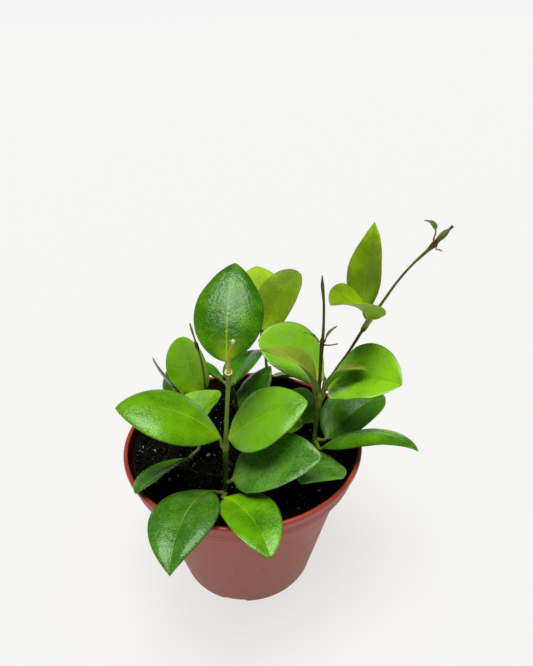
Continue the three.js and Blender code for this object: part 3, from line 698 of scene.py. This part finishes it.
def leaf(node, route, index, start, heading, rise, roll, length, width, arch=20, sweep=0, twist=0,
         fold=10, curl=15, widest=0.45, point=0.8, thickness=leaf_thickness, stalk=stalk_radius,
         skin="mature", tone=0.5, painted_sheen=0, dull=0, ripple=0.35, droop=0.035):
    """A leaf on its stalk, which grows at a point of a stem's route. Heading, rise and roll aim it;
    arch, sweep and twist bend it along its midrib; fold and curl lift its halves, and droop turns its
    margin down again by a share of its width. Widest is the share of its length at which it is
    widest, and a larger point makes both its ends slimmer. Tone, wax and dull are its shade of green,
    its painted sheen and its lack of gloss. Angles are in degrees and lengths in millimetres."""
    heading, rise, roll, arch, sweep, twist, fold, curl = (
        math.radians(angle) for angle in (heading, rise, roll, arch, sweep, twist, fold, curl)
    )
    blade_places = midrib(start, heading, rise, roll, length, arch, sweep, twist)
    stalk_places = leaf_stalk(route, index, *blade_places[0])
    leaf_foot = point * widest / (1 - widest)
    seed = 7.3 * len(bpy.data.objects)
    shape = bmesh.new()
    blade = shape.loops.layers.uv.new("blade")
    tone_sheen_dull = shape.verts.layers.float_vector.new("tone_sheen_dull")
    marks = {}

    def on_stalk(vertex, row, sideways, lift):
        """A point of the stalk, which flares where it has grown on to its stem."""
        spot, slope, side, up = stalk_places[row]
        before_blade = 1 - row / stalk_rows
        radius = stalk * (1 + stalk_flare * before_blade**3) if row else 0
        marks[vertex] = (sideways, -0.2 * before_blade - 0.04)
        return spot + radius * (sideways * side + stalk_flatness * lift * up)

    def on_blade(vertex, step, sideways, lift):
        """A point of the blade. Sideways is -1 to 1 across it, and lift is -1 to 1 through it."""
        share = step / blade_rows
        spot, aim = blade_places[step]
        wide = width / 2 * (share / widest) ** leaf_foot * ((1 - share) / (1 - widest)) ** point
        from_stalk = max(0, 1 - share / stalk_fade)
        wide = math.hypot(wide, stalk * from_stalk * min(1, 6 * (1 - share)))
        thick = thickness / 2 * min(1, (1 - share) / tip_thins) ** 0.7
        thick += (stalk_flatness * stalk - thickness / 2) * from_stalk**2
        away = wide * abs(sideways)

        groove = math.exp(-((away / groove_width) ** 2)) * min(1, share / 0.1) * (1 - share)
        through = thick * lift - (groove_depth if lift > 0 else midrib_depth) * groove * min(1, thickness)
        half_leaf = 2 * math.copysign(1, sideways)
        wave = ripple * sideways**2 * noise.noise(Vector((5 * share + seed, half_leaf, 0)))
        wave += 0.5 * ripple * noise.noise(Vector((away / 6, 3 * share, seed)))
        turned_down = droop * width * max(0, (abs(sideways) - 0.5) / 0.5) ** 2
        through += (wave - turned_down) * min(1, 5 * share) * min(1, 5 * (1 - share))

        # Each half is an arc: it leaves the midrib at the fold and turns by the curl on its way out.
        opened = min(1, share / halves_open)
        slope_in, bend_in = fold * opened, curl * opened / (width / 2)
        half = bend_in * away / 2
        chord = away if abs(half) < 1e-6 else away * math.sin(half) / half
        mean, steep = slope_in + half, slope_in + bend_in * away
        out = math.copysign(1, sideways) * (chord * math.cos(mean) - through * math.sin(steep))
        up = chord * math.sin(mean) + through * math.cos(steep)
        marks[vertex] = (sideways, share)
        return spot + out * aim.col[1] + up * aim.col[2]

    def place(vertex, row, turn):
        # The points are drawn towards the midrib, which spreads them evenly across the blade.
        turn -= 0.35 * math.sin(2 * turn)
        sideways, lift = math.sin(turn), -math.cos(turn)
        if row <= stalk_rows:
            return on_stalk(vertex, row, sideways, lift)
        return on_blade(vertex, row - stalk_rows, sideways, lift)

    wrapped(shape, stalk_rows + blade_rows, leaf_sides, place)
    for vertex in shape.verts:
        vertex[tone_sheen_dull] = (tone, painted_sheen, dull)
    for face in shape.faces:
        for loop in face.loops:
            sideways, share = marks[loop.vert]
            loop[blade].uv = (0.5 + 0.5 * sideways, share)
    # Faces that look down from the midrib beside them get the second skin, the underside.
    shape.normal_update()
    for face in shape.faces:
        middle = face.calc_center_median() / MM
        nearest = min(blade_places, key=lambda station: (station[0] - middle).length)
        face.material_index = int(face.normal.dot(nearest[1].col[2]) < 0)
    return piece(f"{node}_blade", shape, skins[skin][:2], skins[skin][2], node)


skins = {
    "mature": (*leaf_skins("mature leaf", "2f6a04", "70b206", "a8d010", "7fa63a", "2b5208"), "leaf_mature"),
    # The bright leaf is a lighter copy of the mature one: partly its own fresher green, partly painted
    # light.
    "bright": (*leaf_skins("bright leaf", "4c8404", "8ed00c", "b8dc30", "8fb83a", "3a6a08"), "leaf_mature"),
    # The shaded leaf is a darker copy of the mature one: partly its own darker green, partly painted shade.
    "dark": (*leaf_skins("shaded leaf", "2b600c", "549a12", "86a838", "6c8f46", "7f9d68"), "leaf_dark"),
}
leaf("leaf_front_left", front_route, 3, (-10.5, -28.5, 104.5), heading=175, rise=55, roll=5,
     length=50, width=32, arch=60, sweep=-15, fold=-5, curl=-5, widest=0.5, tone=0.65)
leaf("leaf_front_right", front_route, 3, (-6.5, -22.5, 99), heading=-10, rise=50, roll=-20,
     length=43, width=32, arch=35, sweep=10, fold=0, curl=5, tone=0.9, painted_sheen=0.3)
leaf("leaf_tall", front_route, 7, (-5.5, -23, 141), heading=90, rise=55, roll=5,
     length=49, width=32, arch=35, sweep=10, fold=-5, curl=-10, tone=0.25)
leaf("leaf_low_right", front_route, 2, (-5.5, -31.5, 82.5), heading=-10, rise=40, roll=-20,
     length=46, width=29, sweep=20, skin="dark", tone=0.5, painted_sheen=0.5)
leaf("leaf_rim_left", front_route, 1, (-15.5, -32.5, 76.5), heading=235, rise=35, roll=-10,
     length=53, width=30, arch=65, sweep=-25, fold=20, curl=-25, widest=0.5, point=1.1,
     tone=0.15, painted_sheen=0.3)
leaf("leaf_rim_right", front_route, 1, (-9.5, -38.5, 78), heading=-50, rise=25, roll=5,
     length=43, width=24, arch=40, sweep=25, curl=20, widest=0.5, tone=0.55)

# ---- Right stem ----------------------------------------------------------------------------------
# A straight woody stem, green at its foot and brown above its lower joint. It ends in a thin brown
# pointed tip, with a short dry spur and two scale leaves at its upper joint.
right_route = [
    (37, 1.5, soil_top - 1, 1.2), (37, 1.5, 72, 1.2), (37, 1.5, 76, 1.2), (37.5, 1.5, 85, 1.1),
    (38.5, 1.5, 101.5, 1.6), (38.5, 1.5, 108, 0.9), (38.6, 1.5, 118, 0.8), (39, 1.5, 134, 1.0),
    (39.3, 1.5, 138.5, 0.7), (39.3, 1.5, 147, 0.6), (39, 1.5, 155, 0.6), (38.2, 1.5, 163, 0.8),
    (37.8, 1.5, 168.3, 0.3),
]
spur_route = [(39.6, 1.5, 132.7, 0.4), (43, 1.5, 132.4, 0.3), (46.5, 1.5, 133, 0.25)]
brown_bark = stem_skin(
    "brown bark", "6b8a24", "54461c", 98, 116, "948e40", [(97, 106, "94a83a"), (132, 135, "3c2e18")]
)
stem("stem_right", right_route, brown_bark, "stem_brown", (4, 7))
stem("stem_spur", spur_route, brown_bark, "stem_brown")

# ---- Leaves of the right stem --------------------------------------------------------------------
# Four full leaves from the foot of the stem, and a young pair at its joint. Young leaves are softer
# and olive, with a brown tinge, until their wax and their green come in.
skins["young"] = (
    *leaf_skins("young leaf", "7a8e22", "aabe3c", "bccb5a", "a9b262", "8a7a34", 0.45, 0.25), "leaf_young"
)
leaf("leaf_right_front", right_route, 1, (37.5, -6, 74.5), heading=-110, rise=15, roll=15,
     length=47, width=36, arch=-15, twist=-5, fold=30, curl=-15, widest=0.55, point=0.7, skin="dark",
     tone=0.5, painted_sheen=0.6, ripple=1)
leaf("leaf_right_long", right_route, 2, (40, -8, 78), heading=-15, rise=50, roll=25,
     length=61, width=23, arch=55, sweep=35, twist=10, curl=-65, widest=0.4, point=1, tone=0.4)
leaf("leaf_right_back", right_route, 2, (43, 0.3, 77), heading=35, rise=30, roll=-5,
     length=42, width=30, arch=30, sweep=10, twist=5, fold=15, curl=20, skin="dark", tone=0.8, painted_sheen=0.2,
     ripple=0.8)
leaf("leaf_inner_right", right_route, 2, (37.5, 12, 79), heading=130, rise=5, roll=15,
     length=36, width=28, arch=25, sweep=10, fold=5, widest=0.5, skin="dark")
leaf("young_leaf_right", right_route, 4, (41, 1.5, 107), heading=30, rise=55, roll=55,
     length=27, width=16, arch=70, sweep=30, fold=15, curl=10, point=1.2, stalk=1, skin="young")
leaf("young_leaf_left", right_route, 4, (36, 2, 106), heading=225, rise=85, roll=45,
     length=40, width=18, arch=90, sweep=10, twist=5, fold=15, curl=25, widest=0.35, point=1.2,
     stalk=1, skin="young", dull=0.4)
leaf("bud_leaf_right", right_route, 7, (40.9, 1.5, 137), heading=0, rise=65, roll=30,
     length=8, width=4.5, arch=30, fold=15, curl=10, thickness=0.6, stalk=0.4, skin="dark")
leaf("bud_leaf_left", right_route, 7, (36.5, 1.5, 136.5), heading=180, rise=55, roll=30,
     length=8, width=1.5, arch=90, fold=15, curl=10, thickness=0.6, stalk=0.4, skin="dark")

# ---- Climbing stem -------------------------------------------------------------------------------
# The longest stem leans out to the right as a thin leafless vine, feeling for a support. A joint half
# way up is swollen and pale, and the end is a dark knob with a small bud beyond it.
climbing_route = [
    (40, 16, soil_top - 1, 1.1), (41, 16, 80, 1.0), (44, 17, 97.5, 1.4), (49, 17.5, 107, 0.8),
    (56.2, 18.5, 118.5, 0.7), (61.7, 19, 128.9, 0.8), (62.9, 19, 131, 1.4), (65.2, 19, 135.5, 1.6),
    (67.3, 19.5, 138.3, 1.0), (72, 20, 145.8, 0.7), (77.5, 20, 155.2, 0.6), (84, 20, 164, 0.6),
    (90, 20, 170.3, 0.8), (93.9, 20, 174.4, 1.6),
]
bud_route = [
    (93.6, 20, 174.0, 1.2), (95.2, 20, 176.4, 1.2), (96.5, 20, 177.8, 1.6),
    (98, 20, 179.4, 1.4), (99.6, 20, 181, 0.6), (101, 20, 182.6, 0.8),
]
vine_bark = stem_skin(
    "vine bark", "5b7430", "5c6a2a", 100, 170, "8c9a58",
    [(129, 131, "4a4a1c"), (132, 139, "a9b75c"), (172, 190, "64402a")],
)
bud_bark = stem_skin("bud bark", "5e3a26", "6c7434", 175, 179, "a4a055", [(181.5, 190, "50442a")])
stem("stem_climbing", climbing_route, vine_bark, "stem_green", (2, 6))
stem("shoot_bud", bud_route, bud_bark, "stem_brown")

# ---- Leaves of the climbing stem -----------------------------------------------------------------
# A large pair at the low joint and two soft lime-green leaves at the pale joint. The bud at the end
# has one small dark leaf and a pale dry bract under it.
# The lime leaf's underside is a bright yellow-green: partly its own colour, partly painted light shining
# through.
skins["lime"] = (
    *leaf_skins("lime leaf", "6c8c02", "a4cc0c", "b4d41e", "92b612", "8ea022", 0.5, 0.25, 0.12), "leaf_lime"
)
skins["pale lime"] = (*skins["lime"][:2], "leaf_young")
skins["scar"] = (*leaf_skins("dry bract", "c9bf7a", "e0d89a", "e6dfae", "cfc68a", "b7ab6a", 0.6), "scar")
leaf("leaf_middle_right", climbing_route, 2, (44.5, 10, 101.5), heading=-35, rise=40, roll=-20,
     length=45, width=38, sweep=25, fold=15, curl=25, widest=0.5,
     skin="bright", tone=0.75, painted_sheen=0.2, ripple=0.9)
leaf("leaf_middle_left", climbing_route, 2, (44, 21.5, 101), heading=180, rise=45, roll=20,
     length=42, width=36, sweep=-5, twist=10, curl=25, widest=0.5, point=0.6,
     skin="bright", tone=1.1, painted_sheen=0.6)
leaf("leaf_top_upright", climbing_route, 7, (63.5, 24, 138), heading=80, rise=70, roll=50,
     length=45, width=25, arch=15, sweep=-5, curl=10, widest=0.4, point=1, skin="lime", tone=0.3)
leaf("leaf_top_folded", climbing_route, 7, (64, 15, 139.5), heading=205, rise=55, roll=5,
     length=28, width=30, arch=55, sweep=-5, twist=-10, fold=20, widest=0.4, skin="lime")
leaf("shoot_leaf", climbing_route, 13, (93, 20, 181), heading=180, rise=65, roll=-30,
     length=9.5, width=4.5, arch=60, fold=15, curl=10, thickness=0.6, stalk=0.4, skin="dark", tone=1.3)
leaf("shoot_bract", climbing_route, 13, (94.5, 19.5, 171.5), heading=0, rise=-10, roll=0,
     length=3.5, width=2, fold=15, curl=10, thickness=0.6, stalk=0.3, skin="scar")

# ---- Left and back stems -------------------------------------------------------------------------
# A thin reddish stem with a dark joint and a dry tip, and five more shoots at the left, in the middle
# and at the back. The leaves in front of them hide most of these shoots.
red_route = [
    (-20.5, 23, soil_top - 1, 0.9), (-19.2, 22.5, 88, 0.7), (-19.3, 22.5, 108, 0.5),
    (-20.6, 22.5, 119, 0.5), (-21.5, 22.5, 123, 0.9), (-22.4, 22.5, 127.5, 0.4),
    (-23.3, 22.5, 132.2, 0.6), (-24, 22.5, 136, 0.4),
]
left_route = [(-27, -3, soil_top - 1, 1), (-27, -3, 72.5, 1), (-22.5, -2.5, 77.5, 0.9), (-23, -2, 86, 1)]
left_back_route = [(-32.5, 20, soil_top - 1, 1), (-32.5, 20, 84, 0.9), (-32.5, 20, 89, 1)]
middle_route = [(10, 0, soil_top - 1, 1), (10, 0, 73, 1), (10.5, 0.5, 82, 0.9)]
inner_route = [(-2.5, 25, soil_top - 1, 1.1), (-3, 24, 85.5, 1.1), (-5.5, 24, 97.5, 1.3)]
back_route = [
    (15.5, 42.5, soil_top - 1, 1.1), (15.5, 42, 83.5, 1), (14.5, 42, 101.5, 0.8), (14, 42, 115, 1),
]
red_bark = stem_skin(
    "reddish bark", "8a5a2c", "8e5e30", 80, 130, "4c2a18", [(121, 125, "4a3018"), (130, 140, "a39a50")]
)
stem("stem_red", red_route, red_bark, "stem_red", (1, 4))
pale_bark = stem_skin("pale bark", "6f7d3c", "c5cb92", 73, 79, "e0dfb0")
stem("shoot_left", left_route, pale_bark, "stem_green", (3,))
for node, route in (
    ("shoot_left_back", left_back_route),
    ("shoot_middle", middle_route),
    ("shoot_inner", inner_route),
    ("stem_back", back_route),
):
    stem(node, route, green_bark_with_painted_shade, "stem_green", (len(route) - 1,))

# ---- Leaves of the left and back stems -----------------------------------------------------------
# Leaves of every age: dark ones low down in the shade, a bright one on the reddish stem, and two
# tall pale ones at the back that have grown up into the light.
leaf("leaf_red_stem", red_route, 1, (-24, 26, 91), heading=135, rise=70, roll=55,
     length=33, width=24, arch=0, sweep=10, twist=5, curl=20, point=0.55,
     skin="bright", tone=1.0)
leaf("leaf_left_low", left_route, 1, (-28, -9, 76.5), heading=230, rise=25, roll=-30,
     length=40, width=20, arch=25, sweep=-5, twist=5, fold=15, curl=-5, skin="dark")
leaf("leaf_left_inner", left_route, 3, (-28, -0.5, 87.5), heading=50, rise=30, roll=10,
     length=27, width=27, arch=15, twist=5, fold=15, curl=30, skin="bright", tone=0.65, dull=1)
leaf("leaf_left_thin", left_back_route, 2, (-32, 20, 97), heading=165, rise=40, roll=130,
     length=24, width=7, arch=30, sweep=-15, fold=5, curl=-10, skin="dark")
leaf("leaf_left_back", left_back_route, 1, (-36, 26, 86.5), heading=105, rise=25, roll=65,
     length=29, width=16, sweep=10, twist=-5, curl=20, skin="dark", tone=0.2)
leaf("leaf_inner_low", inner_route, 1, (-4, 29, 79.5), heading=20, rise=35, roll=0,
     length=30, width=24, arch=-10, sweep=-5, fold=0, curl=-10, widest=0.4, skin="dark", tone=0.3)
leaf("leaf_inner_back", inner_route, 2, (-3.5, 29, 94.5), heading=70, rise=25, roll=30,
     length=31, width=25, arch=35, sweep=-5, twist=-10, curl=5, skin="dark", tone=0.4)
leaf("leaf_inner_left", inner_route, 2, (-9.5, 28, 96.5), heading=155, rise=30, roll=-25,
     length=32, width=18, arch=30, sweep=20, twist=-10, curl=30, skin="dark")
leaf("leaf_middle_low", middle_route, 1, (10.5, 3.5, 73.5), heading=25, rise=30, roll=5,
     length=24, width=25, arch=15, sweep=25, twist=-5, fold=20, curl=30, point=0.5, tone=0.6)
leaf("leaf_back_low", back_route, 1, (18.5, 47, 86), heading=-5, rise=0, roll=25,
     length=14, width=23, arch=5, twist=10, fold=5, skin="dark")
leaf("leaf_back_left", back_route, 3, (12.5, 42, 119), heading=95, rise=55, roll=10,
     length=39, width=31, arch=25, curl=10, skin="lime", tone=0.7)
leaf("leaf_back_right", back_route, 3, (14, 38.5, 121), heading=50, rise=60, roll=-10,
     length=38, width=23, arch=30, sweep=15, fold=15, point=0.55, skin="pale lime", tone=0.1)

# ---- Studio --------------------------------------------------------------------------------------
# The pot stands on a plain pale floor that runs out of sight. One broad soft light hangs overhead,
# a little to the front and the left, and the room gives an even weak fill. The room looks as pale as
# the floor, so that the horizon hardly shows.
floor_radius_metres, fill_strength, seen_strength = 40, 0.06, 0.915
floor_shape = bmesh.new()
bmesh.ops.create_circle(floor_shape, cap_ends=True, segments=64, radius=floor_radius_metres)
floor_mesh = bpy.data.meshes.new("floor")
floor_shape.to_mesh(floor_mesh)
floor_shape.free()
floor = bpy.data.objects.new("floor", floor_mesh)
bpy.context.scene.collection.objects.link(floor)
pale, shader, _ = new_surface("pale floor")
feed(
    shader, Base_Color=(0.16, 0.158, 0.155, 1), Roughness=0.9,
    Emission_Color=(1, 0.995, 0.985, 1), Emission_Strength=0.73,
)
floor_mesh.materials.append(pale)

overhead = bpy.data.objects.new("overhead light", bpy.data.lights.new("overhead light", "SUN"))
bpy.context.scene.collection.objects.link(overhead)
overhead.data.energy = 3.3
overhead.data.angle = math.radians(42)
overhead.rotation_euler = (math.radians(2), math.radians(-4), 0)

room = bpy.data.worlds.new("room")
bpy.context.scene.world = room
room.use_nodes = True
room_nodes, room_links = room.node_tree.nodes, room.node_tree.links
fill = room_nodes["Background"]
fill.inputs["Color"].default_value = (1, 1, 1, 1)
seen = room_nodes.new("ShaderNodeLightPath").outputs["Is Camera Ray"]
strength = room_nodes.new("ShaderNodeMapRange")
strength.inputs["To Min"].default_value = fill_strength
strength.inputs["To Max"].default_value = seen_strength
room_links.new(seen, strength.inputs["Value"])
room_links.new(strength.outputs[0], fill.inputs["Strength"])
bpy.context.scene.view_settings.view_transform = "Standard"
